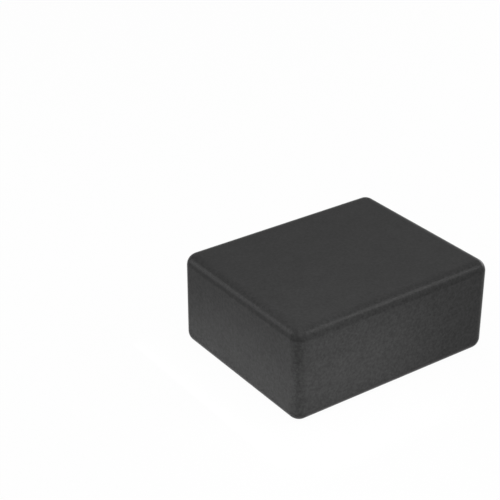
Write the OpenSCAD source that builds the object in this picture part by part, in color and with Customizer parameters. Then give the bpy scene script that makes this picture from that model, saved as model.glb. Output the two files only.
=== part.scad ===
// Oscillator in a moulded four-land package, with its chip and its resonator stacked inside.
// Sizes are in millimetres. The origin is the middle of the soldering plane under the lands,
// X runs along the length, Y along the width and +Z away from the board.

/* [Moulded body] */
// Length of the body along X
body_l = 2; // [1.8:0.05:2.6]
// Width of the body along Y
body_w = 1.6; // [1.4:0.05:2.2]
// Height of the body without the lands
body_h = 0.85; // [0.7:0.01:1.2]
// Radius on all edges of the body
edge_r = 0.105; // [0.04:0.005:0.2]

/* [Lands] */
// Length of a land along X
land_l = 0.31; // [0.2:0.01:0.4]
// Width of a land along Y
land_w = 0.52; // [0.3:0.01:0.58]
// Flat rim between the edge rounding of the body and a land
land_rim = 0.01; // [0.005:0.005:0.1]
// Height by which a land stands proud of the body
land_stand = 0.02; // [0.02:0.005:0.05]
// Radius on the edges of a land
land_r = 0.018; // [0.006:0.001:0.02]
// Extra length of the index land towards the middle
index_extra = 0.045; // [0:0.005:0.08]
// Leg of the clipped corner of the index land
index_cut = 0.06; // [0.03:0.005:0.12]

/* [Terminals] */
// Height of a terminal from its land to its bonding face
terminal_h = 0.13; // [0.1:0.005:0.2]
// Thickness of the half-etched shelf at the top of a terminal
shelf_t = 0.06; // [0.03:0.005:0.075]
// Overhang of the shelf past the land, which locks it in the body
shelf_lock = 0.03; // [0.01:0.005:0.04]
// Length of a terminal finger under the chip
finger_lap = 0.12; // [0.05:0.01:0.2]
// Width of a finger at its tip
finger_w = 0.2; // [0.1:0.01:0.3]
// Distance from the side of the chip to a finger tip
finger_side = 0.06; // [0.02:0.01:0.15]

/* [Chip] */
// Length of the chip along X
chip_l = 0.9; // [0.8:0.02:1.1]
// Width of the chip along Y
chip_w = 1; // [0.9:0.02:1.2]
// Thickness of the chip
chip_t = 0.15; // [0.1:0.01:0.25]
// Thickness of the film under the chip
chip_film_t = 0.02; // [0.01:0.005:0.04]
// Distance from the end of the chip to a bond pad
pad_end = 0.06; // [0.05:0.005:0.09]
// Distance from the side of the chip to a bond pad
pad_side = 0.15; // [0.06:0.01:0.3]

/* [Resonator housing] */
// Length of the resonator base along X
base_l = 0.48; // [0.4:0.02:0.6]
// Width of the resonator base along Y
base_w = 0.48; // [0.42:0.02:0.6]
// Thickness of the resonator base
base_t = 0.1; // [0.06:0.01:0.15]
// Thickness of the film under the resonator base
base_film_t = 0.015; // [0.01:0.005:0.03]
// Distance from the side of the chip to the resonator base
base_side = 0.14; // [0.05:0.01:0.2]
// Width of the shelf that the cap leaves free for bonding
bond_shelf = 0.09; // [0.07:0.005:0.12]
// Pitch of the bond pads on that shelf
bond_pitch = 0.1; // [0.07:0.005:0.13]
// Thickness of the seal ring
seal_t = 0.006; // [0.004:0.001:0.01]
// Width of the seal ring
seal_w = 0.04; // [0.02:0.005:0.06]
// Thickness of the cap
cap_t = 0.09; // [0.06:0.01:0.14]
// Depth of the cavity in the cap
cap_cavity = 0.03; // [0.015:0.005:0.05]

/* [Resonator] */
// Side of the vibrating plate
plate_l = 0.12; // [0.08:0.01:0.16]
// Thickness of the plate and the electrodes
plate_t = 0.01; // [0.005:0.001:0.02]
// Width of a tether at a corner of the plate
tether_w = 0.008; // [0.004:0.001:0.012]
// Side of the anchor at the end of a tether
anchor_l = 0.04; // [0.02:0.005:0.06]
// Margin of the recess in the base round the plate
recess_margin = 0.02; // [0.015:0.005:0.04]
// Depth of that recess
recess_d = 0.012; // [0.005:0.001:0.03]
// Gap between the plate and an electrode
electrode_gap = 0.004; // [0.002:0.001:0.01]
// Length of an electrode that lies on the base
electrode_seat = 0.03; // [0.015:0.005:0.04]
// Width of an electrode along the plate
electrode_w = 0.08; // [0.04:0.01:0.1]

/* [Bond wires] */
// Diameter of a bond wire
wire_d = 0.02; // [0.015:0.001:0.03]
// Diameter of the squashed ball at the start of a wire
ball_d = 0.05; // [0.04:0.005:0.06]
// Height of the squashed ball
ball_h = 0.014; // [0.01:0.001:0.02]
// Lift of the loop, to the control point above the ball
loop_lift = 0.25; // [0.15:0.01:0.35]
// Length of the flat stitch at the end of a wire
stitch_l = 0.045; // [0.03:0.005:0.06]
// Width of the stitch
stitch_w = 0.034; // [0.03:0.002:0.05]
// Thickness of the stitch
stitch_t = 0.008; // [0.005:0.001:0.012]

/* [Hidden] */
$fn = 48;

// Outer edges of the lands, where the flat underside of the body begins
land_out_x = body_l / 2 - edge_r - land_rim;
land_out_y = body_w / 2 - edge_r - land_rim;
land_mid_x = land_out_x - land_l / 2;
land_mid_y = land_out_y - land_w / 2;

// Heights of the stack inside the body
chip_z = terminal_h + chip_film_t;
chip_top = chip_z + chip_t;
base_z = chip_top + base_film_t;
base_top = base_z + base_t;
cap_z = base_top + seal_t;

// Places of the resonator on the chip
base_y = chip_w / 2 - base_side - base_w / 2;
base_front = base_y - base_w / 2;
cap_w = base_w - bond_shelf;
cap_y = base_y + bond_shelf / 2;
recess_l = plate_l + 2 * recess_margin;

// Rows of bond pads on the resonator's shelf and in front of it on the chip,
// and the places along a row, in pitches from its middle
shelf_pad_y = base_front + bond_shelf / 2;
chip_pad_y = (base_front - chip_w / 2) / 2;
pad_steps = [-1.5, -0.5, 0.5, 1.5];

// Loop of a bond wire: rings along its curve, sides of its section, share of its span
// where the curve levels out, and the point of the curve at which it starts to flatten
wire_rings = 10;
wire_sides = 8;
loop_level = 0.5;
flat_from = 0.7;

// Room by which a cutting shape passes the face that it cuts
cut_room = 0.05;

mould_colour = [0.23, 0.23, 0.23];
land_colour = [0.56, 0.56, 0.56];
film_colour = [0.72, 0.7, 0.62];
chip_colour = [0.36, 0.38, 0.44];
silicon_colour = [0.44, 0.46, 0.5];
plate_colour = [0.6, 0.62, 0.66];
electrode_colour = [0.5, 0.52, 0.6];
seal_colour = [0.7, 0.66, 0.5];
wire_colour = [0.83, 0.67, 0.3];

// Half section of a wall, rounded at its top and bottom
module wall_section(h, r) {
    intersection() {
        union() {
            square([2 * r, h - 2 * r], center = true);
            for (end = [-1, 1])
                translate([0, end * (h / 2 - r)])
                    circle(r);
        }
        translate([0, -h / 2])
            square([r, h]);
    }
}

// Block about the origin with all edges rounded: a core, four walls and four turned corners
module rounded_block(l, w, h, r) {
    x = l / 2 - r;
    y = w / 2 - r;
    cube([2 * x, 2 * y, h], center = true);
    for (turn = [0, 180]) {
        rotate(turn)
            translate([x, y, 0])
                rotate([90, 0, 0])
                    linear_extrude(2 * y)
                        wall_section(h, r);
        rotate(turn + 90)
            translate([y, x, 0])
                rotate([90, 0, 0])
                    linear_extrude(2 * x)
                        wall_section(h, r);
        rotate(turn)
            translate([x, y, 0])
                rotate_extrude(angle = 90)
                    wall_section(h, r);
        rotate(turn + 90)
            translate([y, x, 0])
                rotate_extrude(angle = 90)
                    wall_section(h, r);
    }
}

// Plate that stands on height z, centred on the Y axis at y
module slab(l, w, t, y, z) {
    translate([-l / 2, y - w / 2, z])
        cube([l, w, t]);
}

// Bonding shelf of a terminal and its finger, which tapers to its tip under the chip
module shelf_outline(side_x, side_y, extra) {
    inner_x = land_out_x - land_l - extra;
    inner_y = land_out_y - land_w;
    tip_x = chip_l / 2 - finger_lap;
    tip_y = chip_w / 2 - finger_side;
    near_y = inner_y - shelf_lock;
    far_y = land_out_y + shelf_lock;
    corners = [
        [land_out_x + shelf_lock, near_y], [land_out_x + shelf_lock, far_y],
        [inner_x - shelf_lock, far_y], [tip_x, tip_y],
        [tip_x, tip_y - finger_w], [inner_x - shelf_lock, near_y]
    ];
    polygon([for (p = corners) [side_x * p[0], side_y * p[1]]]);
}

// Terminal in the corner given by two signs: a land below, a wider half-etched shelf above
module terminal(side_x, side_y, extra = 0, cut = 0) {
    difference() {
        translate([side_x * (land_mid_x - extra / 2), side_y * land_mid_y, terminal_h / 2])
            rounded_block(land_l + extra, land_w, terminal_h, land_r);
        if (cut > 0)
            translate([side_x * land_out_x, side_y * land_out_y, -cut_room])
                linear_extrude(terminal_h + 2 * cut_room)
                    polygon([
                        [-side_x * (cut + cut_room), side_y * cut_room],
                        [side_x * cut_room, -side_y * (cut + cut_room)],
                        [side_x * cut_room, side_y * cut_room]
                    ]);
    }
    translate([0, 0, terminal_h - shelf_t])
        linear_extrude(shelf_t)
            shelf_outline(side_x, side_y, extra);
}

module terminal_enable() {
    color(land_colour) terminal(-1, 1, index_extra, index_cut);
}

module terminal_ground() {
    color(land_colour) terminal(-1, -1);
}

module terminal_output() {
    color(land_colour) terminal(1, -1);
}

module terminal_supply() {
    color(land_colour) terminal(1, 1);
}

module ic_die_attach() {
    color(film_colour) slab(chip_l, chip_w, chip_film_t, 0, terminal_h);
}

module oscillator_ic() {
    color(chip_colour) slab(chip_l, chip_w, chip_t, 0, chip_z);
}

module resonator_die_attach() {
    color(film_colour) slab(base_l, base_w, base_film_t, base_y, chip_top);
}

module resonator_base() {
    color(silicon_colour) difference() {
        slab(base_l, base_w, base_t, base_y, base_z);
        slab(recess_l, recess_l, recess_d + cut_room, cap_y, base_top - recess_d);
    }
}

// Square plate that hangs over the recess by a tether at each corner
module resonator_plate() {
    anchor = recess_l / 2 + anchor_l / 2;
    color(plate_colour)
        translate([0, cap_y, base_top])
            linear_extrude(plate_t) {
                square(plate_l, center = true);
                for (turn = [0:90:270])
                    rotate(turn) {
                        translate([anchor, anchor])
                            square(anchor_l, center = true);
                        rotate(45)
                            translate([0, -tether_w / 2])
                                square([anchor * sqrt(2), tether_w]);
                    }
            }
}

// Electrode beside the plate, which reaches over the recess to leave a narrow gap
module electrode(turn) {
    inner = plate_l / 2 + electrode_gap;
    outer = recess_l / 2 + electrode_seat;
    color(electrode_colour)
        translate([0, cap_y, base_top])
            rotate(turn)
                translate([inner, -electrode_w / 2, 0])
                    cube([outer - inner, electrode_w, plate_t]);
}

module drive_electrode_left() {
    electrode(180);
}

module drive_electrode_right() {
    electrode(0);
}

module sense_electrode_front() {
    electrode(270);
}

module sense_electrode_back() {
    electrode(90);
}

// Room inside the seal ring, from height z up
module cavity(depth, z) {
    slab(base_l - 2 * seal_w, cap_w - 2 * seal_w, depth, cap_y, z);
}

module seal_ring() {
    color(seal_colour) difference() {
        slab(base_l, cap_w, seal_t, cap_y, base_top);
        cavity(seal_t + 2 * cut_room, base_top - cut_room);
    }
}

module resonator_cap() {
    color(silicon_colour) difference() {
        slab(base_l, cap_w, cap_t, cap_y, cap_z);
        cavity(cap_cavity + cut_room, cap_z - cut_room);
    }
}

// Cubic curve through its first and last point, and its direction
function curve(p, t) = pow(1 - t, 3) * p[0] + 3 * pow(1 - t, 2) * t * p[1]
    + 3 * (1 - t) * pow(t, 2) * p[2] + pow(t, 3) * p[3];
function heading(p, t) = pow(1 - t, 2) * (p[1] - p[0]) + 2 * (1 - t) * t * (p[2] - p[1])
    + pow(t, 2) * (p[3] - p[2]);

// Share by which a wire is squashed at t along its loop, from 0 for round to 1 for the stitch
function squash(t) = pow(max(0, (t - flat_from) / (1 - flat_from)), 2);

// One ring of a wire about the point c, across the direction d, squashed by share s
function ring(c, d, s) =
    let (
        n = [-d[1], d[0]] / norm(d),
        half_w = (wire_d * (1 - s) + stitch_w * s) / 2,
        half_t = (wire_d * (1 - s) + stitch_t * s) / 2,
        corner = 180 / wire_sides
    )
    [for (k = [0:wire_sides - 1])
        let (a = corner * (2 * k + 1))
        let (v = half_t * sin(a) / cos(corner))
        [c[0] + n[0] * v, half_w * cos(a) / cos(corner), c[1] + n[1] * v]];

// Closed skin over rings of equal count
module skin(rings) {
    last = len(rings) - 1;
    points = [for (r = rings) each r];
    sides = [for (i = [0:last - 1], k = [0:wire_sides - 1])
        let (j = (k + 1) % wire_sides)
        [i * wire_sides + k, (i + 1) * wire_sides + k, (i + 1) * wire_sides + j, i * wire_sides + j]];
    start_cap = [for (k = [0:wire_sides - 1]) k];
    end_cap = [for (k = [wire_sides - 1:-1:0]) last * wire_sides + k];
    polyhedron(points, concat(sides, [start_cap, end_cap]), convexity = 4);
}

// Bond wire: a squashed ball at the first point, a loop, and a flat stitch at the second
module bond_wire(from, to) {
    run = to - from;
    span = norm([run[0], run[1]]);
    foot = run[2] + stitch_t / 2;
    heel = span - stitch_l;
    loop = [[0, ball_h / 2], [0, loop_lift], [span * loop_level, foot], [heel, foot]];
    color(wire_colour)
        translate(from)
            rotate(atan2(run[1], run[0])) {
                intersection() {
                    translate([0, 0, ball_h / 2])
                        sphere(d = ball_d);
                    cylinder(h = ball_h, d = 2 * ball_d);
                }
                skin([
                    for (i = [0:wire_rings])
                        let (t = i / wire_rings)
                        ring(curve(loop, t), heading(loop, t), squash(t)),
                    ring([span, foot], [1, 0], 1)
                ]);
            }
}

// Wire from the chip to the terminal in the corner given by two signs
module terminal_wire(side_x, side_y) {
    bond_wire(
        [side_x * (chip_l / 2 - pad_end), side_y * (chip_w / 2 - pad_side), chip_top],
        [side_x * land_mid_x, side_y * land_mid_y, terminal_h]
    );
}

module wire_enable() {
    terminal_wire(-1, 1);
}

module wire_ground() {
    terminal_wire(-1, -1);
}

module wire_output() {
    terminal_wire(1, -1);
}

module wire_supply() {
    terminal_wire(1, 1);
}

// Wire from the resonator's bonding shelf down to the chip, so many pitches from the middle
module resonator_wire(step) {
    bond_wire(
        [step * bond_pitch, shelf_pad_y, base_top],
        [step * bond_pitch, chip_pad_y, chip_top]
    );
}

module resonator_wire_drive() {
    resonator_wire(pad_steps[0]);
}

module resonator_wire_sense() {
    resonator_wire(pad_steps[1]);
}

module resonator_wire_bias() {
    resonator_wire(pad_steps[2]);
}

module resonator_wire_guard() {
    resonator_wire(pad_steps[3]);
}

// Moulded body, which fills everything round the pieces inside it.
// The pockets of the resonator start low in the pocket of the chip, so they run into each other.
module mould_body() {
    color(mould_colour) difference() {
        translate([0, 0, land_stand + body_h / 2])
            rounded_block(body_l, body_w, body_h, edge_r);
        terminal_enable();
        terminal_ground();
        terminal_output();
        terminal_supply();
        slab(chip_l, chip_w, chip_top - terminal_h, 0, terminal_h);
        slab(base_l, base_w, base_top - chip_z, base_y, chip_z);
        slab(base_l, cap_w, cap_z + cap_t - chip_z, cap_y, chip_z);
        for (side_x = [-1, 1], side_y = [-1, 1])
            terminal_wire(side_x, side_y);
        for (step = pad_steps)
            resonator_wire(step);
    }
}

mould_body();
terminal_enable();
terminal_ground();
terminal_output();
terminal_supply();
ic_die_attach();
oscillator_ic();
resonator_die_attach();
resonator_base();
resonator_plate();
drive_electrode_left();
drive_electrode_right();
sense_electrode_front();
sense_electrode_back();
seal_ring();
resonator_cap();
wire_enable();
wire_ground();
wire_output();
wire_supply();
resonator_wire_drive();
resonator_wire_sense();
resonator_wire_bias();
resonator_wire_guard();
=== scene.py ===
"""Looks of a small moulded oscillator with four lands, built over its solids."""

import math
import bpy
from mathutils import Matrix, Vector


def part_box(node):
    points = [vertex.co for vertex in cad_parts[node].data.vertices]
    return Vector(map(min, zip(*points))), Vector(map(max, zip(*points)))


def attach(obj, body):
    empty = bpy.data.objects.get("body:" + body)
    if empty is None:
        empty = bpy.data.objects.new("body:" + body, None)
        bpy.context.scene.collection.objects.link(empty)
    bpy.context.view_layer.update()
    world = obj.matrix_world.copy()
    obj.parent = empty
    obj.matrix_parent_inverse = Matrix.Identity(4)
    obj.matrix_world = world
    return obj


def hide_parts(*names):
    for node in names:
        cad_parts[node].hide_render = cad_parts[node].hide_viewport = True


bl_info = {
    "name": "Moulded oscillator",
    "version": (1, 0, 0),
    "blender": (4, 5, 0),
    "location": "3D View > Sidebar > Oscillator",
    "description": "Finishes the body, lands, bond wires and chips of a moulded oscillator",
    "category": "Object",
}

import bmesh
import bpy
from bpy.props import FloatProperty, FloatVectorProperty, IntProperty, PointerProperty
from mathutils import Matrix, Vector

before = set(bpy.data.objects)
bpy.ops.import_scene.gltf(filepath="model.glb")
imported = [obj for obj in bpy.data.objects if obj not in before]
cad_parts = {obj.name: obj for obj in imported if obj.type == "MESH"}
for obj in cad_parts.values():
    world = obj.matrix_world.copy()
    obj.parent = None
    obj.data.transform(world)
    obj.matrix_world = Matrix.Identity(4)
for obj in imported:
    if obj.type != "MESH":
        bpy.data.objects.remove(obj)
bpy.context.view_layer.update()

MM = 0.001
MICRON = 0.000001
# Points closer than this are one point
TOUCH = 0.01 * MICRON
# Facets on a rounded edge lie less than this inside the true surface
SKIN_DEPTH = 2 * MICRON
# Watts that a lamp needs for an even level of light at one metre
LAMP_POWER = 10
# Faces that meet at less than this angle are shaded as one surface
SMOOTH_ANGLE = math.radians(32)

TERMINALS = ("terminal_enable", "terminal_ground", "terminal_output", "terminal_supply")
TERMINAL_WIRES = ("wire_enable", "wire_ground", "wire_output", "wire_supply")
RESONATOR_WIRES = ("resonator_wire_drive", "resonator_wire_sense",
                   "resonator_wire_bias", "resonator_wire_guard")
ELECTRODES = ("drive_electrode_left", "drive_electrode_right",
              "sense_electrode_front", "sense_electrode_back")

BODY_LOW, BODY_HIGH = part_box("mould_body")
BODY_MIDDLE = (BODY_LOW + BODY_HIGH) / 2
BODY_SIZE = BODY_HIGH - BODY_LOW
CHIP_LOW, CHIP_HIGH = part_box("oscillator_ic")
BASE_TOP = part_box("resonator_base")[1].z
TERMINAL_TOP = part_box("terminal_ground")[1].z
PLATE_LOW, PLATE_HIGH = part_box("resonator_plate")

# Heights on which the ball and the stitch of each bond wire stand
WIRE_HEIGHTS = {
    **{node: (CHIP_HIGH.z, TERMINAL_TOP) for node in TERMINAL_WIRES},
    **{node: (BASE_TOP, CHIP_HIGH.z) for node in RESONATOR_WIRES},
}


def points_of(node):
    """Corner points of a solid, each once."""
    places = {tuple(round(c / TOUCH) for c in v.co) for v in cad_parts[node].data.vertices}
    return [Vector(place) * TOUCH for place in places]


def edge_radius():
    """Edge radius of the moulded body: how far its flat top ends inside its length."""
    flat = max(p.x for p in points_of("mould_body") if p.z > BODY_HIGH.z - TOUCH)
    return BODY_HIGH.x - flat


EDGE_RADIUS = edge_radius()
# Half size of the body without its rounded edges
BODY_CORE = BODY_SIZE / 2 - Vector((EDGE_RADIUS, EDGE_RADIUS, EDGE_RADIUS))


def past_core(point):
    """How far a point of the body lies outside its core, along each axis."""
    away = point - BODY_MIDDLE
    return Vector(math.copysign(max(abs(a) - c, 0), a) for a, c in zip(away, BODY_CORE))


def on_underside(face):
    """Says whether a face lies in the plane of the body's underside."""
    return all(v.co.z < BODY_LOW.z + TOUCH for v in face.verts)


def on_skin(face):
    """Says whether a face belongs to the body's rounded skin, and not to its underside or a pocket."""
    depth = EDGE_RADIUS - past_core(face.calc_center_median()).length
    return depth < SKIN_DEPTH and not on_underside(face)


def wire_ends(node):
    """Middle of a bond wire's ball and end of its stitch."""
    upper, lower = WIRE_HEIGHTS[node]
    points = points_of(node)
    foot = [p for p in points if abs(p.z - upper) < 2 * TOUCH]
    start = sum(foot, Vector()) / len(foot)
    landing = [p for p in points if abs(p.z - lower) < 2 * TOUCH]
    reach = max((p - start).length for p in landing)
    tip = [p for p in landing if (p - start).length > reach - MICRON]
    return start, sum(tip, Vector()) / len(tip)


class Socket:
    """Output of a node. Arithmetic on it adds Math nodes, or Vector Math nodes for vectors."""

    def __init__(self, tree, socket):
        self.tree = tree
        self.socket = socket

    def apply(self, operation, *others, output=0):
        """Result of an operation on this socket and other operands."""
        return self.tree.maths(operation, self, *others, output=output)

    def __add__(self, other):
        return self.apply("ADD", other)

    def __radd__(self, other):
        return self.apply("ADD", other)

    def __sub__(self, other):
        return self.apply("SUBTRACT", other)

    def __rsub__(self, other):
        return self.tree.maths("SUBTRACT", other, self)

    def __mul__(self, other):
        return self.apply("MULTIPLY", other)

    def __rmul__(self, other):
        return self.apply("MULTIPLY", other)

    def __truediv__(self, other):
        return self.apply("DIVIDE", other)

    def __rtruediv__(self, other):
        return self.tree.maths("DIVIDE", other, self)

    def __abs__(self):
        return self.apply("ABSOLUTE")

    def __lt__(self, other):
        return self.apply("LESS_THAN", other)

    def __gt__(self, other):
        return self.apply("GREATER_THAN", other)

    def at_least(self, other):
        """The larger of two values."""
        return self.apply("MAXIMUM", other)

    def at_most(self, other):
        """The smaller of two values."""
        return self.apply("MINIMUM", other)

    def axes(self):
        """The three numbers of a vector."""
        return [self.tree.node("ShaderNodeSeparateXYZ", {}, {0: self}, axis) for axis in "XYZ"]


class Tree:
    """Node tree to which nodes are added by their type, settings and sockets."""

    def __init__(self, tree):
        self.tree = tree

    def node(self, kind, settings=None, sockets=None, output=0):
        """Adds a node, applies its settings, sets or links its sockets and returns one output."""
        node = self.tree.nodes.new(kind)
        for name, value in (settings or {}).items():
            setattr(node, name, value)
        for key, value in (sockets or {}).items():
            self.feed(node.inputs[key], value)
        return Socket(self, node.outputs[output]) if len(node.outputs) else None

    def maths(self, operation, *operands, output=0):
        """Adds a Vector Math node if an operand is a vector's socket, and a Math node otherwise."""
        vector = any(isinstance(o, Socket) and o.socket.type == "VECTOR" for o in operands)
        kind = "ShaderNodeVectorMath" if vector else "ShaderNodeMath"
        return self.node(kind, {"operation": operation}, dict(enumerate(operands)), output)

    def feed(self, socket, value):
        """Links a socket to an output, or sets its value."""
        if isinstance(value, Socket):
            self.tree.links.new(value.socket, socket)
        elif socket.type == "VECTOR" and isinstance(value, (int, float)):
            socket.default_value = (value, value, value)
        elif socket.type == "RGBA":
            socket.default_value = (*value[:3], 1)
        else:
            socket.default_value = value


class Surface(Tree):
    """Material with a Principled shader, patterned on Object coordinates."""

    def __init__(self, name):
        self.material = bpy.data.materials.new(name)
        self.material.use_nodes = True
        super().__init__(self.material.node_tree)
        self.shader = self.tree.nodes["Principled BSDF"]
        self.place = self.node("ShaderNodeTexCoord", output="Object")

    def set(self, **sockets):
        """Sets or links sockets of the shader, with _ for the spaces in their names."""
        for name, value in sockets.items():
            self.feed(self.shader.inputs[name.replace("_", " ")], value)

    def noise(self, size, detail=2.0, roughness=0.5, stretch=(1, 1, 1)):
        """Cloudy pattern from 0 to 1 with features of that size, drawn out along an axis by stretch."""
        place = self.place * Vector(1 / s for s in stretch)
        sockets = {"Vector": place, "Scale": 1 / size, "Detail": detail, "Roughness": roughness}
        return self.node("ShaderNodeTexNoise", {}, sockets, "Fac")

    def soft_step(self, value, start, end):
        """0 before start, 1 after end, and smooth between them."""
        sockets = {"Value": value, "From Min": start, "From Max": end}
        return self.node("ShaderNodeMapRange", {"interpolation_type": "SMOOTHSTEP"}, sockets)

    def blend(self, share, first, second):
        """Colour between two colours."""
        return self.node("ShaderNodeMix", {"data_type": "RGBA"}, {0: share, 6: first, 7: second}, 2)

    def tint(self, tone, colour, spread):
        """Colour that runs from darker to lighter by spread as tone runs from 0 to 1."""
        darker = [c * (1 - spread) for c in colour]
        lighter = [c * (1 + spread) for c in colour]
        return self.blend(tone, darker, lighter)

    def bump(self, height, depth):
        """Normal over a relief of that depth, whose height runs from 0 to 1."""
        return self.node("ShaderNodeBump", {}, {"Distance": depth, "Height": height}, "Normal")

    def square(self, centre, half):
        """Mask of an upright square about a point, seen from above."""
        x, y, _ = self.place.axes()
        return abs(x - centre.x).at_least(abs(y - centre.y)) < half


class Recipe(Tree):
    """Geometry Nodes tree with named inputs."""

    def __init__(self, name):
        super().__init__(bpy.data.node_groups.new(name, "GeometryNodeTree"))
        self.inputs = self.tree.nodes.new("NodeGroupInput")

    def input(self, name, kind):
        """Adds a named input."""
        self.tree.interface.new_socket(name, in_out="INPUT", socket_type="NodeSocket" + kind)
        return Socket(self, self.inputs.outputs[name])

    def store(self, geometry, name, value, kind="FLOAT_VECTOR"):
        """Geometry that carries a value on its points under a name."""
        settings = {"data_type": kind, "domain": "POINT"}
        sockets = {"Geometry": geometry, "Name": name, "Value": value}
        return self.node("GeometryNodeStoreNamedAttribute", settings, sockets)

    def stored(self, name, kind="FLOAT_VECTOR"):
        """Value that the geometry carries under a name."""
        return self.node("GeometryNodeInputNamedAttribute", {"data_type": kind}, {"Name": name})

    def end(self, geometry, finish):
        """Makes the geometry real, gives it its material and puts it out."""
        smooth = self.node("GeometryNodeSetShadeSmooth", {}, {"Geometry": geometry})
        real = self.node("GeometryNodeRealizeInstances", {}, {"Geometry": smooth})
        dressed = self.node("GeometryNodeSetMaterial", {}, {"Geometry": real, "Material": finish})
        self.tree.interface.new_socket("Geometry", in_out="OUTPUT", socket_type="NodeSocketGeometry")
        self.node("NodeGroupOutput", {}, {"Geometry": dressed})
        return self.tree


def add_object(name, data):
    """Adds an object to the scene."""
    piece = bpy.data.objects.new(name, data)
    bpy.context.scene.collection.objects.link(piece)
    return piece


def grow(name, recipe, values):
    """Piece that a Geometry Nodes tree makes from its named inputs."""
    seed = add_object(name + "_seed", bpy.data.meshes.new(name + "_seed"))
    modifier = seed.modifiers.new("Recipe", "NODES")
    modifier.node_group = recipe
    for socket in recipe.interface.items_tree:
        if socket.in_out == "INPUT":
            modifier[socket.identifier] = values[socket.name]
    depsgraph = bpy.context.evaluated_depsgraph_get()
    mesh = bpy.data.meshes.new_from_object(seed.evaluated_get(depsgraph))
    bpy.data.objects.remove(seed)
    mesh.name = name
    mesh.materials.clear()
    mesh.materials.append(values["Finish"])
    return add_object(name, mesh)


def place_piece(piece, slot, *nodes):
    """Hangs a piece on the root body and hides the solids that it stands for."""
    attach(piece, "root")
    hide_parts(*nodes)


def read_solid(shape, node):
    """Adds a solid to a bmesh, with the loose triangles of its mesh joined."""
    shape.from_mesh(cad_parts[node].data)
    bmesh.ops.remove_doubles(shape, verts=shape.verts, dist=TOUCH)


def check_closed(shape, name):
    """Raises an error if a shape has an open edge."""
    if any(len(edge.link_faces) != 2 for edge in shape.edges):
        raise RuntimeError(f"{name} isn't closed")


# Finishes


def mould_compound(look):
    """Black moulding compound: satin faces with filler grain, smoother rounded edges, and painted shade
    lines along the rounded edges.
    """
    surface = Surface("mould_compound")
    # How far the skin faces along each axis, from 0 to 1 across a rounded edge
    facing = (abs(surface.place - BODY_MIDDLE) - BODY_CORE).at_least(0.0) / EDGE_RADIUS
    x, y, z = facing.axes()
    edge = ((x * y + y * z + z * x) * 2).at_most(1.0)
    grain = surface.noise(look.grain_size, 3, 0.6)
    mottle = surface.noise(look.mottle_size, 3, 0.55)
    depth = look.top_grain + (1 - z) * (look.side_grain - look.top_grain)
    # Painted shade: a dark line where the rounding runs into the sides, and a dark band along the upright
    # edges
    painted_rim_shade = surface.soft_step(z, 0.0, 0.2) - surface.soft_step(z, 0.3, 0.7)
    corner = surface.soft_step(x * y * y, 0.2, 0.34)
    shade = painted_rim_shade * look.rim_painted_shade + corner * look.corner_painted_shade
    tone = 0.5 + (grain - 0.5) * depth + (mottle - 0.5) * look.mottle_depth - shade
    surface.set(Base_Color=surface.tint(tone, look.colour, 0.6))
    satin = look.roughness + (grain - 0.5) * 0.2
    surface.set(Roughness=satin - edge * (look.roughness - look.edge_roughness))
    surface.set(Specular_IOR_Level=look.specular)
    surface.set(Normal=surface.bump(grain * (1 - edge), look.grain_relief))
    return surface.material


def land_plating(look):
    """Matt grey plating on the terminals, with a fine etched grain."""
    surface = Surface("land_plating")
    grain = surface.noise(look.grain_size, 4, 0.65)
    patches = surface.noise(12 * look.grain_size, 2)
    tone = 0.5 + (grain - 0.5) * 0.7 + (patches - 0.5) * 0.4
    surface.set(Base_Color=surface.tint(tone, look.colour, 0.25), Metallic=1.0)
    surface.set(Roughness=look.roughness + (grain - 0.5) * 0.25)
    surface.set(Normal=surface.bump(grain, look.grain_relief))
    return surface.material


def die_attach_film(look):
    """Cured adhesive film with filler specks."""
    surface = Surface("die_attach_film")
    specks = surface.soft_step(surface.noise(4 * MICRON, 2), 0.55, 0.7)
    clouds = surface.noise(60 * MICRON, 3)
    matrix = surface.tint(clouds, look.film_colour, 0.2)
    surface.set(Base_Color=surface.blend(specks, matrix, (0.75, 0.74, 0.7)))
    surface.set(Roughness=0.5 + clouds * 0.2)
    surface.set(Normal=surface.bump(specks, 0.3 * MICRON))
    return surface.material


def sawn_sides(surface, low, high):
    """Mask of the sawn sides between two heights, and the saw's marks along them."""
    _, _, z = surface.place.axes()
    sides = (z > low) * (z < high)
    marks = surface.noise(3 * MICRON, 3, 0.6, (30, 30, 1))
    return sides, marks


def floor_plan(surface, size):
    """Random tone of each block of that size on a chip, and a mask of the lines between blocks."""
    scaled = surface.place / size
    block = scaled.apply("FLOOR")
    tone = surface.node("ShaderNodeTexWhiteNoise", {"noise_dimensions": "2D"}, {"Vector": block}, "Value")
    x, y, _ = abs(scaled - block - 0.5).axes()
    half_line = 0.025
    return tone, x.at_least(y) > 0.5 - half_line


def bond_pads(surface, centres, side):
    """Mask of the square bond pads about some points."""
    pads = surface.square(centres[0], side / 2)
    for centre in centres[1:]:
        pads = pads.at_least(surface.square(centre, side / 2))
    return pads


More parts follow.
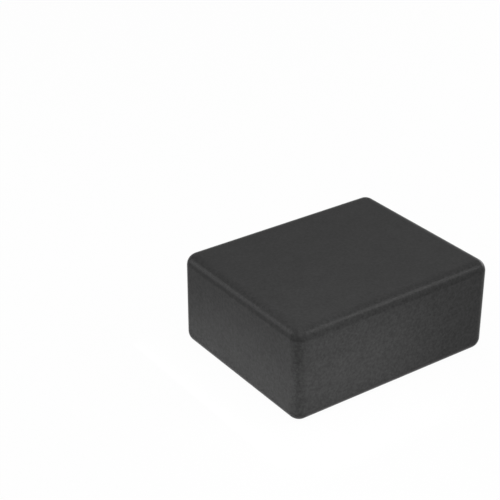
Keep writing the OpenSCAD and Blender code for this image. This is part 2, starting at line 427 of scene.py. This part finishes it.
def chip_silicon(look, pad_centres):
    """Chip with circuit blocks, metal tracks and bond pads on its face and sawn sides."""
    surface = Surface("chip_silicon")
    block_size = Vector((0.26 * MM, 0.19 * MM, 1))
    large_tone, large_lines = floor_plan(surface, block_size)
    small_tone, small_lines = floor_plan(surface, block_size / 3)
    split = large_tone > 0.5
    block = large_tone + split * (small_tone - large_tone)
    tracks = large_lines.at_least(split * small_lines)
    rows = {"Vector": surface.place, "Scale": 1 / (50 * MICRON), "Distortion": 0.0}
    lines = surface.node("ShaderNodeTexWave", {"bands_direction": "Y"}, rows, "Fac")
    cells = surface.noise(6 * MICRON, 1, 0.5, (3, 1, 1))
    circuit = surface.tint(cells * 0.6 + lines * 0.4, look.chip_colour, 0.5)
    circuit = surface.blend(block * 0.8, circuit, look.block_colour)
    circuit = surface.blend(tracks, circuit, look.track_colour)
    pad = bond_pads(surface, pad_centres, look.pad_size)
    face = surface.blend(pad, circuit, look.pad_colour)
    sides, marks = sawn_sides(surface, CHIP_LOW.z - MICRON, CHIP_HIGH.z - MICRON)
    sawn = surface.tint(marks, look.silicon_colour, 0.3)
    surface.set(Base_Color=surface.blend(sides, face, sawn))
    surface.set(Metallic=(1 - sides) * pad.at_least(tracks * 0.7))
    surface.set(Roughness=0.25 + sides * 0.3 + pad * 0.15)
    relief = (1 - sides) * (tracks + pad) * 0.5 + sides * marks
    surface.set(Normal=surface.bump(relief, 0.4 * MICRON))
    return surface.material


def etched_holes(surface, pitch):
    """Mask of the rows of etched holes in the middle of the vibrating plate, on its two faces."""
    rows_each_way = 3
    middle = (PLATE_LOW + PLATE_HIGH) / 2
    half_thick = (PLATE_HIGH.z - PLATE_LOW.z) / 2
    place = surface.place - middle
    scaled = place / pitch
    away = (scaled - scaled.apply("FLOOR") - 0.5) * Vector((1, 1, 0))
    # A hole's soft edge lies between these shares of the pitch
    hole = 1 - surface.soft_step(away.apply("LENGTH", output="Value"), 0.16, 0.2)
    x, y, z = abs(place).axes()
    return hole * (x.at_least(y) < rows_each_way * pitch) * (z > half_thick - TOUCH)


def lapped_silicon(name, colour, hole_pitch=0.0):
    """Silicon with lapping marks, and etched holes of that pitch where it has any, painted near black as
    the shade inside them.
    """
    surface = Surface(name)
    lapping = surface.noise(5 * MICRON, 4, 0.6, (12, 1, 1))
    clouds = surface.noise(50 * MICRON, 2)
    tone = lapping * 0.6 + clouds * 0.4
    bare = surface.tint(tone, colour, 0.3)
    relief = lapping
    if hole_pitch:
        holes = etched_holes(surface, hole_pitch)
        # Painted shade: the holes are coloured near black in place of the shade inside them
        bare = surface.blend(holes, bare, (0.02, 0.02, 0.025))
        relief = lapping * 0.3 - holes
    surface.set(Base_Color=bare, Metallic=0.2 + tone * 0.3)
    surface.set(Roughness=0.2 + lapping * 0.25)
    surface.set(Normal=surface.bump(relief, 0.2 * MICRON))
    return surface.material


def seal_metal(look):
    """Pale bonding alloy with visible grains."""
    surface = Surface("seal_metal")
    sockets = {"Vector": surface.place, "Scale": 1 / (9 * MICRON)}
    grains = surface.node("ShaderNodeTexVoronoi", {}, sockets, "Distance")
    clouds = surface.noise(30 * MICRON, 2)
    surface.set(Base_Color=surface.tint(grains * 0.7 + clouds * 0.3, look.seal_colour, 0.3), Metallic=1.0)
    surface.set(Roughness=0.3 + grains * 0.3)
    surface.set(Normal=surface.bump(grains, 0.3 * MICRON))
    return surface.material


def bond_gold(look):
    """Drawn gold wire with faint marks of the die and the bonding tool."""
    surface = Surface("bond_gold")
    marks = surface.noise(2 * MICRON, 3, 0.6)
    clouds = surface.noise(25 * MICRON, 2)
    surface.set(Base_Color=surface.tint(marks * 0.5 + clouds * 0.5, look.colour, 0.15), Metallic=1.0)
    surface.set(Roughness=0.22 + marks * 0.2)
    surface.set(Normal=surface.bump(marks, 0.1 * MICRON))
    return surface.material


# Shapes


def rounded_block_recipe():
    """Block with all edges rounded: the halves of a cube's grid, pushed out to the corners."""
    recipe = Recipe("rounded_block")
    size = recipe.input("Size", "Vector")
    middle = recipe.input("Middle", "Vector")
    radius = recipe.input("Edge radius", "Float")
    steps = recipe.input("Edge steps", "Int")
    finish = recipe.input("Finish", "Material")
    rows = steps * 2 + 2
    sides = {"Size": 1.0, "Vertices X": rows, "Vertices Y": rows, "Vertices Z": rows}
    cube = recipe.node("GeometryNodeMeshCube", {}, sides)
    place = recipe.node("GeometryNodeInputPosition")
    half = place.apply("SIGN")
    turn = half * (abs(place) * (rows - 1) - 0.5) / steps * (math.pi / 4)
    tangent = turn.apply("TANGENT")
    outward = tangent.apply("NORMALIZE")
    point = middle + half * (size / 2 - radius) + outward * radius
    block = recipe.node("GeometryNodeSetPosition", {}, {"Geometry": cube, "Position": point})
    return recipe.end(block, finish)


def raised(recipe, point, height):
    """Point lifted by a height."""
    return point + recipe.node("ShaderNodeCombineXYZ", {}, {"Z": height})


def cubic(control, t):
    """Point at t on the cubic curve of four control points, and the curve's direction there."""
    back = 1 - t
    point = (control[0] * (back * back * back) + control[1] * (back * back * t * 3)
             + control[2] * (back * t * t * 3) + control[3] * (t * t * t))
    heading = ((control[1] - control[0]) * (back * back) + (control[2] - control[1]) * (back * t * 2)
               + (control[3] - control[2]) * (t * t))
    return point, heading.apply("NORMALIZE")


def squashed_ball(recipe, middle, diameter, height):
    """Ball about a point, squashed flat above and below."""
    sockets = {"Segments": 32, "Rings": 24, "Radius": diameter / 2}
    sphere = recipe.node("GeometryNodeMeshUVSphere", {}, sockets)
    x, y, z = recipe.node("GeometryNodeInputPosition").axes()
    squashed = {"X": x, "Y": y, "Z": z.at_least(height / -2).at_most(height / 2)}
    point = middle + recipe.node("ShaderNodeCombineXYZ", {}, squashed)
    return recipe.node("GeometryNodeSetPosition", {}, {"Geometry": sphere, "Position": point})


def bond_wire_recipe():
    """Bond wire: a squashed ball, a looped wire that flattens out, and its stitch."""
    recipe = Recipe("bond_wire")
    start = recipe.input("Start", "Vector")
    end = recipe.input("End", "Vector")
    wire_d = recipe.input("Wire diameter", "Float")
    ball_d = recipe.input("Ball diameter", "Float")
    ball_h = recipe.input("Ball height", "Float")
    lift = recipe.input("Loop lift", "Float")
    level = recipe.input("Loop level", "Float")
    flat_from = recipe.input("Flat from", "Float")
    stitch_l = recipe.input("Stitch length", "Float")
    stitch_w = recipe.input("Stitch width", "Float")
    stitch_t = recipe.input("Stitch thickness", "Float")
    rings = recipe.input("Rings", "Int")
    finish = recipe.input("Finish", "Material")

    up = (0, 0, 1)
    run = end - start
    level_run = run * Vector((1, 1, 0))
    span = level_run.apply("LENGTH", output="Value")
    ahead = level_run.apply("NORMALIZE")
    rise = run.axes()[2]
    foot = raised(recipe, start, rise + stitch_t / 2)
    control = [
        raised(recipe, start, ball_h / 2),
        raised(recipe, start, lift),
        foot + ahead * (span * level),
        foot + ahead * (span - stitch_l),
    ]

    line = recipe.node("GeometryNodeCurvePrimitiveLine", {}, {"End": (1, 0, 0)})
    curve = recipe.node("GeometryNodeResampleCurve", {"mode": "COUNT"}, {"Curve": line, "Count": rings + 2})
    ring = recipe.node("GeometryNodeSplineParameter", output="Index")
    t = (ring / rings).at_most(1.0)
    loop, heading = cubic(control, t)
    centre = loop + ahead * (stitch_l * (ring - rings).at_least(0.0))
    flat = ((t - flat_from) / (1 - flat_from)).at_least(0.0)
    curve = recipe.store(curve, "centre", centre)
    curve = recipe.store(curve, "heading", heading)
    curve = recipe.store(curve, "flat", flat * flat, "FLOAT")

    circle = recipe.node("GeometryNodeCurvePrimitiveCircle", {"mode": "RADIUS"},
                         {"Resolution": 20, "Radius": 1.0})
    circle = recipe.store(circle, "around", recipe.node("GeometryNodeInputPosition"))
    sockets = {"Curve": curve, "Profile Curve": circle, "Fill Caps": True}
    tube = recipe.node("GeometryNodeCurveToMesh", {}, sockets)
    across_x, across_y, _ = recipe.stored("around").axes()
    share = recipe.stored("flat", "FLOAT")
    half_w = (wire_d + (stitch_w - wire_d) * share) / 2
    half_t = (wire_d + (stitch_t - wire_d) * share) / 2
    side = recipe.maths("CROSS_PRODUCT", up, ahead)
    above = recipe.maths("CROSS_PRODUCT", recipe.stored("heading"), side)
    point = recipe.stored("centre") + side * (across_x * half_w) + above * (across_y * half_t)
    tube = recipe.node("GeometryNodeSetPosition", {}, {"Geometry": tube, "Position": point})

    ball = squashed_ball(recipe, control[0], ball_d, ball_h)
    union = {"operation": "UNION", "solver": "EXACT"}
    wire = recipe.node("GeometryNodeMeshBoolean", union, {"Mesh 2": tube})
    recipe.feed(wire.socket.node.inputs["Mesh 2"], ball)
    return recipe.end(wire, finish)


# Sizes and colours


class BodyLook(bpy.types.PropertyGroup):
    """Shape and finish of the moulded body"""
    edge_steps: IntProperty(
        name="Edge steps", description="Facets on each half of a rounded edge", default=8, min=2)
    colour: FloatVectorProperty(
        name="Colour", description="Colour of the moulding compound", subtype="COLOR",
        default=(0.044, 0.044, 0.044))
    roughness: FloatProperty(
        name="Roughness", description="Roughness of the flat faces", subtype="FACTOR", default=0.6)
    edge_roughness: FloatProperty(
        name="Edge roughness", description="Roughness of the rounded edges", subtype="FACTOR", default=0.25)
    # Painted shade along the upright edges
    corner_painted_shade: FloatProperty(
        name="Corner darkening", description="Loss of tone along the upright edges", subtype="FACTOR",
        default=0.06)
    # Painted shade where the rounding runs into the sides
    rim_painted_shade: FloatProperty(
        name="Rim darkening", description="Loss of tone where the rounding runs into the sides",
        subtype="FACTOR", default=0.16)
    specular: FloatProperty(
        name="Specular", description="Strength of the shine", subtype="FACTOR", default=0.04)
    grain_size: FloatProperty(
        name="Grain size", description="Size of the filler grain", subtype="DISTANCE", default=24 * MICRON)
    top_grain: FloatProperty(
        name="Top grain", description="Tone of the grain on the top", subtype="FACTOR", default=0.55)
    side_grain: FloatProperty(
        name="Side grain", description="Tone of the grain on the sides", subtype="FACTOR", default=0.85)
    grain_relief: FloatProperty(
        name="Grain relief", description="Depth of the grain", subtype="DISTANCE", default=0.6 * MICRON)
    mottle_size: FloatProperty(
        name="Mottle size", description="Size of the soft clouds", subtype="DISTANCE", default=160 * MICRON)
    mottle_depth: FloatProperty(
        name="Mottle depth", description="Tone of the soft clouds", subtype="FACTOR", default=0.2)


class LandLook(bpy.types.PropertyGroup):
    """Finish of the terminals and their lands"""
    colour: FloatVectorProperty(
        name="Colour", description="Colour of the plating", subtype="COLOR", default=(0.31, 0.31, 0.305))
    roughness: FloatProperty(
        name="Roughness", description="Roughness of the plating", subtype="FACTOR", default=0.5)
    grain_size: FloatProperty(
        name="Grain size", description="Size of the etched grain", subtype="DISTANCE", default=10 * MICRON)
    grain_relief: FloatProperty(
        name="Grain relief", description="Depth of the etched grain", subtype="DISTANCE",
        default=0.5 * MICRON)


class WireLook(bpy.types.PropertyGroup):
    """Shape and finish of the bond wires"""
    wire_d: FloatProperty(
        name="Wire diameter", description="Diameter of the wire", subtype="DISTANCE", default=0.02 * MM)
    ball_d: FloatProperty(
        name="Ball diameter", description="Diameter of the squashed ball", subtype="DISTANCE",
        default=0.05 * MM)
    ball_h: FloatProperty(
        name="Ball height", description="Height of the squashed ball", subtype="DISTANCE",
        default=0.014 * MM)
    lift: FloatProperty(
        name="Loop lift", description="Lift of the loop's control point", subtype="DISTANCE",
        default=0.25 * MM)
    level: FloatProperty(
        name="Loop level", description="Share of the span where the loop levels out", subtype="FACTOR",
        default=0.5)
    flat_from: FloatProperty(
        name="Flat from", description="Share of the loop where the wire starts to flatten",
        subtype="FACTOR", default=0.7)
    stitch_l: FloatProperty(
        name="Stitch length", description="Length of the flat stitch", subtype="DISTANCE",
        default=0.045 * MM)
    stitch_w: FloatProperty(
        name="Stitch width", description="Width of the stitch", subtype="DISTANCE", default=0.034 * MM)
    stitch_t: FloatProperty(
        name="Stitch thickness", description="Thickness of the stitch", subtype="DISTANCE",
        default=0.008 * MM)
    rings: IntProperty(name="Rings", description="Rings along the loop", default=36, min=8)
    colour: FloatVectorProperty(
        name="Colour", description="Colour of the wire", subtype="COLOR", default=(0.83, 0.56, 0.2))


class ChipLook(bpy.types.PropertyGroup):
    """Finish of the chip, the resonator and the films"""
    chip_colour: FloatVectorProperty(
        name="Circuit", description="Colour of the circuit cells", subtype="COLOR",
        default=(0.10, 0.12, 0.17))
    block_colour: FloatVectorProperty(
        name="Blocks", description="Colour of the lighter blocks", subtype="COLOR",
        default=(0.30, 0.22, 0.26))
    track_colour: FloatVectorProperty(
        name="Tracks", description="Colour of the metal tracks", subtype="COLOR",
        default=(0.58, 0.52, 0.42))
    pad_colour: FloatVectorProperty(
        name="Pads", description="Colour of the bond pads", subtype="COLOR", default=(0.78, 0.77, 0.74))
    pad_size: FloatProperty(
        name="Pad size", description="Side of a bond pad", subtype="DISTANCE", default=0.07 * MM)
    silicon_colour: FloatVectorProperty(
        name="Silicon", description="Colour of bare silicon", subtype="COLOR", default=(0.22, 0.23, 0.26))
    plate_colour: FloatVectorProperty(
        name="Plate", description="Colour of the vibrating plate", subtype="COLOR",
        default=(0.36, 0.38, 0.42))
    electrode_colour: FloatVectorProperty(
        name="Electrodes", description="Colour of the doped electrodes", subtype="COLOR",
        default=(0.27, 0.28, 0.38))
    hole_pitch: FloatProperty(
        name="Hole pitch", description="Pitch of the etched holes in the plate", subtype="DISTANCE",
        default=15 * MICRON)
    seal_colour: FloatVectorProperty(
        name="Seal", description="Colour of the seal ring", subtype="COLOR", default=(0.62, 0.54, 0.36))
    film_colour: FloatVectorProperty(
        name="Film", description="Colour of the adhesive films", subtype="COLOR",
        default=(0.42, 0.39, 0.3))


class StageLook(bpy.types.PropertyGroup):
    """Floor, light and camera"""
    floor_colour: FloatVectorProperty(
        name="Floor", description="Colour of the floor", subtype="COLOR", default=(0.9, 0.9, 0.9))
    floor_lift: FloatProperty(
        name="Floor lift", description="Share of plain white in the seen floor", subtype="FACTOR",
        default=0.975)
    sky: FloatProperty(name="Sky", description="Level of the even light", default=0.175)
    overhead: FloatProperty(name="Overhead", description="Level of the lamp overhead", default=0.26)
    back_left: FloatProperty(
        name="Back left", description="Level of the lamp that lines the left edge", default=0.29)
    right_high: FloatProperty(
        name="Right high", description="Level of the lamp that lines the right edge", default=0.3)
    near_high: FloatProperty(
        name="Near high", description="Level of the close lamp over the near corner", default=0.22)
    left_strip: FloatProperty(
        name="Left strip", description="Level of the low strip beside the left face", default=2.15)
    right_strip: FloatProperty(
        name="Right strip", description="Level of the low strip before the right face", default=0.86)
    back_fill: FloatProperty(
        name="Back fill", description="Level of the soft lamp behind the body", default=0.25)
    lens: FloatProperty(name="Lens", description="Focal length of the camera", unit="CAMERA", default=100)
    azimuth: FloatProperty(
        name="Azimuth", description="Turn of the camera about the body", subtype="ANGLE",
        default=math.radians(-35.37))
    elevation: FloatProperty(
        name="Elevation", description="Height of the camera over the horizon", subtype="ANGLE",
        default=math.radians(28.31))
    distance: FloatProperty(
        name="Distance", description="Distance from the camera to the plane of the body's middle",
        subtype="DISTANCE", default=11.699 * MM)
    right: FloatProperty(
        name="Right", description="Place of the body's middle right of the view's", subtype="DISTANCE",
        default=0.7107 * MM)
    down: FloatProperty(
        name="Down", description="Place of the body's middle below the view's", subtype="DISTANCE",
        default=0.4247 * MM)


class OscillatorLook(bpy.types.PropertyGroup):
    """All sizes and colours of the oscillator's looks"""
    body: PointerProperty(type=BodyLook)
    land: PointerProperty(type=LandLook)
    wire: PointerProperty(type=WireLook)
    chip: PointerProperty(type=ChipLook)
    stage: PointerProperty(type=StageLook)


# Pieces


class OSCILLATOR_OT_mould(bpy.types.Operator):
    """Moulded body with finely rounded edges, over the pockets of the solid"""
    bl_idname = "oscillator.mould"
    bl_label = "Moulded body"

    def execute(self, context):
        look = context.scene.oscillator.body
        block = grow("moulded_body", rounded_block_recipe(), {
            "Size": BODY_SIZE, "Middle": BODY_MIDDLE, "Edge radius": EDGE_RADIUS,
            "Edge steps": look.edge_steps, "Finish": mould_compound(look),
        })
        pockets = self.read_pockets()
        shape = bmesh.new()
        shape.from_mesh(block.data)
        underside = [f for f in shape.faces if on_underside(f)]
        bmesh.ops.delete(shape, geom=underside, context="FACES")
        shape.from_mesh(pockets)
        bpy.data.meshes.remove(pockets)
        bmesh.ops.remove_doubles(shape, verts=shape.verts, dist=TOUCH)
        check_closed(shape, block.name)
        normals = []
        for face in shape.faces:
            face.smooth = True
            face.material_index = 0
            rounded = on_skin(face)
            for vert in face.verts:
                normals.append(past_core(vert.co).normalized() if rounded else face.normal.copy())
        shape.to_mesh(block.data)
        shape.free()
        block.data.normals_split_custom_set(normals)
        place_piece(block, "mould_compound", "mould_body")
        return {"FINISHED"}

    @staticmethod
    def read_pockets():
        """Mesh of the solid's underside and pockets, without its rounded skin."""
        solid = bmesh.new()
        read_solid(solid, "mould_body")
        bmesh.ops.delete(solid, geom=[f for f in solid.faces if on_skin(f)], context="FACES")
        pockets = bpy.data.meshes.new("pockets")
        solid.to_mesh(pockets)
        solid.free()
        return pockets


class OSCILLATOR_OT_terminals(bpy.types.Operator):
    """Four plated terminals with smoothly shaded land edges"""
    bl_idname = "oscillator.terminals"
    bl_label = "Terminals"

    def execute(self, context):
        finish = land_plating(context.scene.oscillator.land)
        for node in TERMINALS:
            shape = bmesh.new()
            read_solid(shape, node)
            check_closed(shape, node)
            shape.verts.index_update()
            mesh = bpy.data.meshes.new("plated_" + node)
            mesh.from_pydata([v.co for v in shape.verts], [],
                             [[v.index for v in f.verts] for f in shape.faces])
            shape.free()
            mesh.materials.append(finish)
            mesh.shade_smooth()
            mesh.set_sharp_from_angle(angle=SMOOTH_ANGLE)
            piece = add_object(mesh.name, mesh)
            weighted = piece.modifiers.new("Even shading", "WEIGHTED_NORMAL")
            weighted.keep_sharp = True
            depsgraph = context.evaluated_depsgraph_get()
            piece.data = bpy.data.meshes.new_from_object(piece.evaluated_get(depsgraph))
            piece.modifiers.clear()
            place_piece(piece, "land_plating", node)
        return {"FINISHED"}


class OSCILLATOR_OT_wires(bpy.types.Operator):
    """Eight gold bond wires, each with its ball, loop and stitch"""
    bl_idname = "oscillator.wires"
    bl_label = "Bond wires"

    def execute(self, context):
        look = context.scene.oscillator.wire
        finish = bond_gold(look)
        recipe = bond_wire_recipe()
        for node in TERMINAL_WIRES + RESONATOR_WIRES:
            start, end = wire_ends(node)
            piece = grow("gold_" + node, recipe, {
                "Start": start, "End": end, "Wire diameter": look.wire_d,
                "Ball diameter": look.ball_d, "Ball height": look.ball_h, "Loop lift": look.lift,
                "Loop level": look.level, "Flat from": look.flat_from, "Stitch length": look.stitch_l,
                "Stitch width": look.stitch_w, "Stitch thickness": look.stitch_t,
                "Rings": look.rings, "Finish": finish,
            })
            shape = bmesh.new()
            shape.from_mesh(piece.data)
            bmesh.ops.remove_doubles(shape, verts=shape.verts, dist=TOUCH)
            bmesh.ops.recalc_face_normals(shape, faces=shape.faces)
            check_closed(shape, piece.name)
            shape.to_mesh(piece.data)
            shape.free()
            piece.data.set_sharp_from_angle(angle=SMOOTH_ANGLE)
            place_piece(piece, "bond_gold", node)
        return {"FINISHED"}


class OSCILLATOR_OT_chips(bpy.types.Operator):
    """Finishes of the chip, the resonator and the films, which keep their solids"""
    bl_idname = "oscillator.chips"
    bl_label = "Chip and resonator"

    def execute(self, context):
        look = context.scene.oscillator.chip
        pad_centres = [wire_ends(node)[0] for node in TERMINAL_WIRES]
        pad_centres += [wire_ends(node)[1] for node in RESONATOR_WIRES]
        film = die_attach_film(look)
        silicon = lapped_silicon("silicon", look.silicon_colour)
        doped = lapped_silicon("doped_silicon", look.electrode_colour)
        finishes = {
            "ic_die_attach": film,
            "resonator_die_attach": film,
            "oscillator_ic": chip_silicon(look, pad_centres),
            "resonator_base": silicon,
            "resonator_cap": silicon,
            "resonator_plate": lapped_silicon("plate_silicon", look.plate_colour, look.hole_pitch),
            "seal_ring": seal_metal(look),
            **{node: doped for node in ELECTRODES},
        }
        for node, finish in finishes.items():
            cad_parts[node].material_slots[0].material = finish
        return {"FINISHED"}


class OSCILLATOR_OT_stage(bpy.types.Operator):
    """Pale floor, soft lamps, even sky and a camera"""
    bl_idname = "oscillator.stage"
    bl_label = "Stage"

    def execute(self, context):
        look = context.scene.oscillator.stage
        self.add_floor(look)
        self.light_sky(context, look)
        # Points on the two near faces at which the low strips are aimed
        left_face = Vector((BODY_LOW.x, -0.05 * MM, 0.3 * MM))
        right_face = Vector((-0.5 * MM, BODY_LOW.y, 0.36 * MM))
        # Each lamp's name, place in millimetres, aim, size in millimetres and level
        self.add_lamp("overhead", (0.6, 1.2, 12.4), BODY_MIDDLE, (10, 10), look.overhead)
        self.add_lamp("back_left", (-8.9, 8.5, 3.85), BODY_MIDDLE, (5.5, 5.5), look.back_left)
        self.add_lamp("right_high", (7.0, -7.55, 7.85), BODY_MIDDLE, (4.5, 4.5), look.right_high)
        self.add_lamp("near_high", (-1.7, -1.7, 2.4), BODY_MIDDLE, (1.5, 1.5), look.near_high)
        self.add_lamp("left_strip", (-1.42, -0.05, 0.05), left_face, (2.1, 0.2), look.left_strip)
        self.add_lamp("right_strip", (-0.5, -1.45, 0.36), right_face, (1.5, 0.25), look.right_strip)
        self.add_lamp("back_fill", (11.5, 1.5, 2.0), BODY_MIDDLE, (8, 3), look.back_fill)
        self.add_camera(context, look)
        context.scene.view_settings.view_transform = "Standard"
        return {"FINISHED"}

    @staticmethod
    def seen(tree):
        """Share of rays that show the background: those of the camera, of shine and of glass."""
        rays = [tree.node("ShaderNodeLightPath", output=name)
                for name in ("Is Camera Ray", "Is Glossy Ray", "Is Transmission Ray")]
        return (rays[0] + rays[1] + rays[2]).at_most(1.0)

    def add_floor(self, look):
        """Adds a floor that looks almost white and still lights the body as a pale floor does."""
        half = 60 * MM
        corners = [(-half, -half, 0), (half, -half, 0), (half, half, 0), (-half, half, 0)]
        mesh = bpy.data.meshes.new("floor")
        mesh.from_pydata(corners, [], [(0, 1, 2, 3)])
        surface = Surface("floor")
        cloud = surface.noise(4 * MM, 2)
        surface.set(Base_Color=surface.tint(cloud, look.floor_colour, 0.01), Roughness=0.9)
        surface.set(Specular_IOR_Level=0.0)
        white = surface.node("ShaderNodeEmission", {}, {"Color": (1, 1, 1), "Strength": 1.0})
        share = self.seen(surface) * look.floor_lift
        lit = Socket(surface, surface.shader.outputs[0])
        mixed = surface.node("ShaderNodeMixShader", {}, {0: share, 1: lit, 2: white})
        surface.feed(surface.tree.nodes["Material Output"].inputs["Surface"], mixed)
        mesh.materials.append(surface.material)
        add_object("floor", mesh)

    def light_sky(self, context, look):
        """Adds a sky that is seen as white and lights the body at its own level."""
        world = bpy.data.worlds.new("sky")
        world.use_nodes = True
        context.scene.world = world
        tree = Tree(world.node_tree)
        strength = look.sky + self.seen(tree) * (1 - look.sky)
        tree.feed(world.node_tree.nodes["Background"].inputs["Color"], (1, 1, 1))
        tree.feed(world.node_tree.nodes["Background"].inputs["Strength"], strength)

    def add_lamp(self, name, place, aim, size, level):
        """Adds a soft lamp whose power gives that level of light where it is aimed."""
        away = Vector(place) * MM - aim
        lamp = bpy.data.lights.new(name, "AREA")
        lamp.shape = "RECTANGLE"
        lamp.size, lamp.size_y = size[0] * MM, size[1] * MM
        lamp.energy = level * LAMP_POWER * away.length_squared
        piece = add_object(name, lamp)
        piece.location = aim + away
        piece.rotation_euler = away.to_track_quat("Z", "Y").to_euler()
        piece.visible_camera = False

    def add_camera(self, context, look):
        """Adds the camera, turned about the body and moved off its middle."""
        camera = bpy.data.cameras.new("camera")
        camera.lens = look.lens
        camera.clip_start = 0.1 * MM
        camera.clip_end = 1.0
        turn = Matrix.Rotation(look.azimuth, 3, "Z") @ Matrix.Rotation(math.pi / 2 - look.elevation, 3, "X")
        piece = add_object("camera", camera)
        piece.rotation_euler = turn.to_euler()
        piece.location = BODY_MIDDLE + turn @ Vector((-look.right, look.down, look.distance))
        context.scene.camera = piece


class OSCILLATOR_PT_panel(bpy.types.Panel):
    """Steps and settings of the oscillator's looks"""
    bl_idname = "OSCILLATOR_PT_panel"
    bl_label = "Oscillator"
    bl_space_type = "VIEW_3D"
    bl_region_type = "UI"
    bl_category = "Oscillator"

    def draw(self, context):
        look = context.scene.oscillator
        steps = (
            (OSCILLATOR_OT_mould, look.body), (OSCILLATOR_OT_terminals, look.land),
            (OSCILLATOR_OT_wires, look.wire), (OSCILLATOR_OT_chips, look.chip),
            (OSCILLATOR_OT_stage, look.stage),
        )
        for operator, group in steps:
            box = self.layout.box()
            box.operator(operator.bl_idname)
            for name in group.__annotations__:
                box.prop(group, name)


CLASSES = (
    BodyLook, LandLook, WireLook, ChipLook, StageLook, OscillatorLook,
    OSCILLATOR_OT_mould, OSCILLATOR_OT_terminals, OSCILLATOR_OT_wires, OSCILLATOR_OT_chips,
    OSCILLATOR_OT_stage, OSCILLATOR_PT_panel,
)


def register():
    for cls in CLASSES:
        bpy.utils.register_class(cls)
    bpy.types.Scene.oscillator = PointerProperty(type=OscillatorLook)


def unregister():
    del bpy.types.Scene.oscillator
    for cls in reversed(CLASSES):
        bpy.utils.unregister_class(cls)


def main():
    """Builds the whole scene."""
    register()
    bpy.ops.oscillator.stage()
    bpy.ops.oscillator.mould()
    bpy.ops.oscillator.terminals()
    bpy.ops.oscillator.wires()
    bpy.ops.oscillator.chips()


if __name__ == "__main__":
    main()
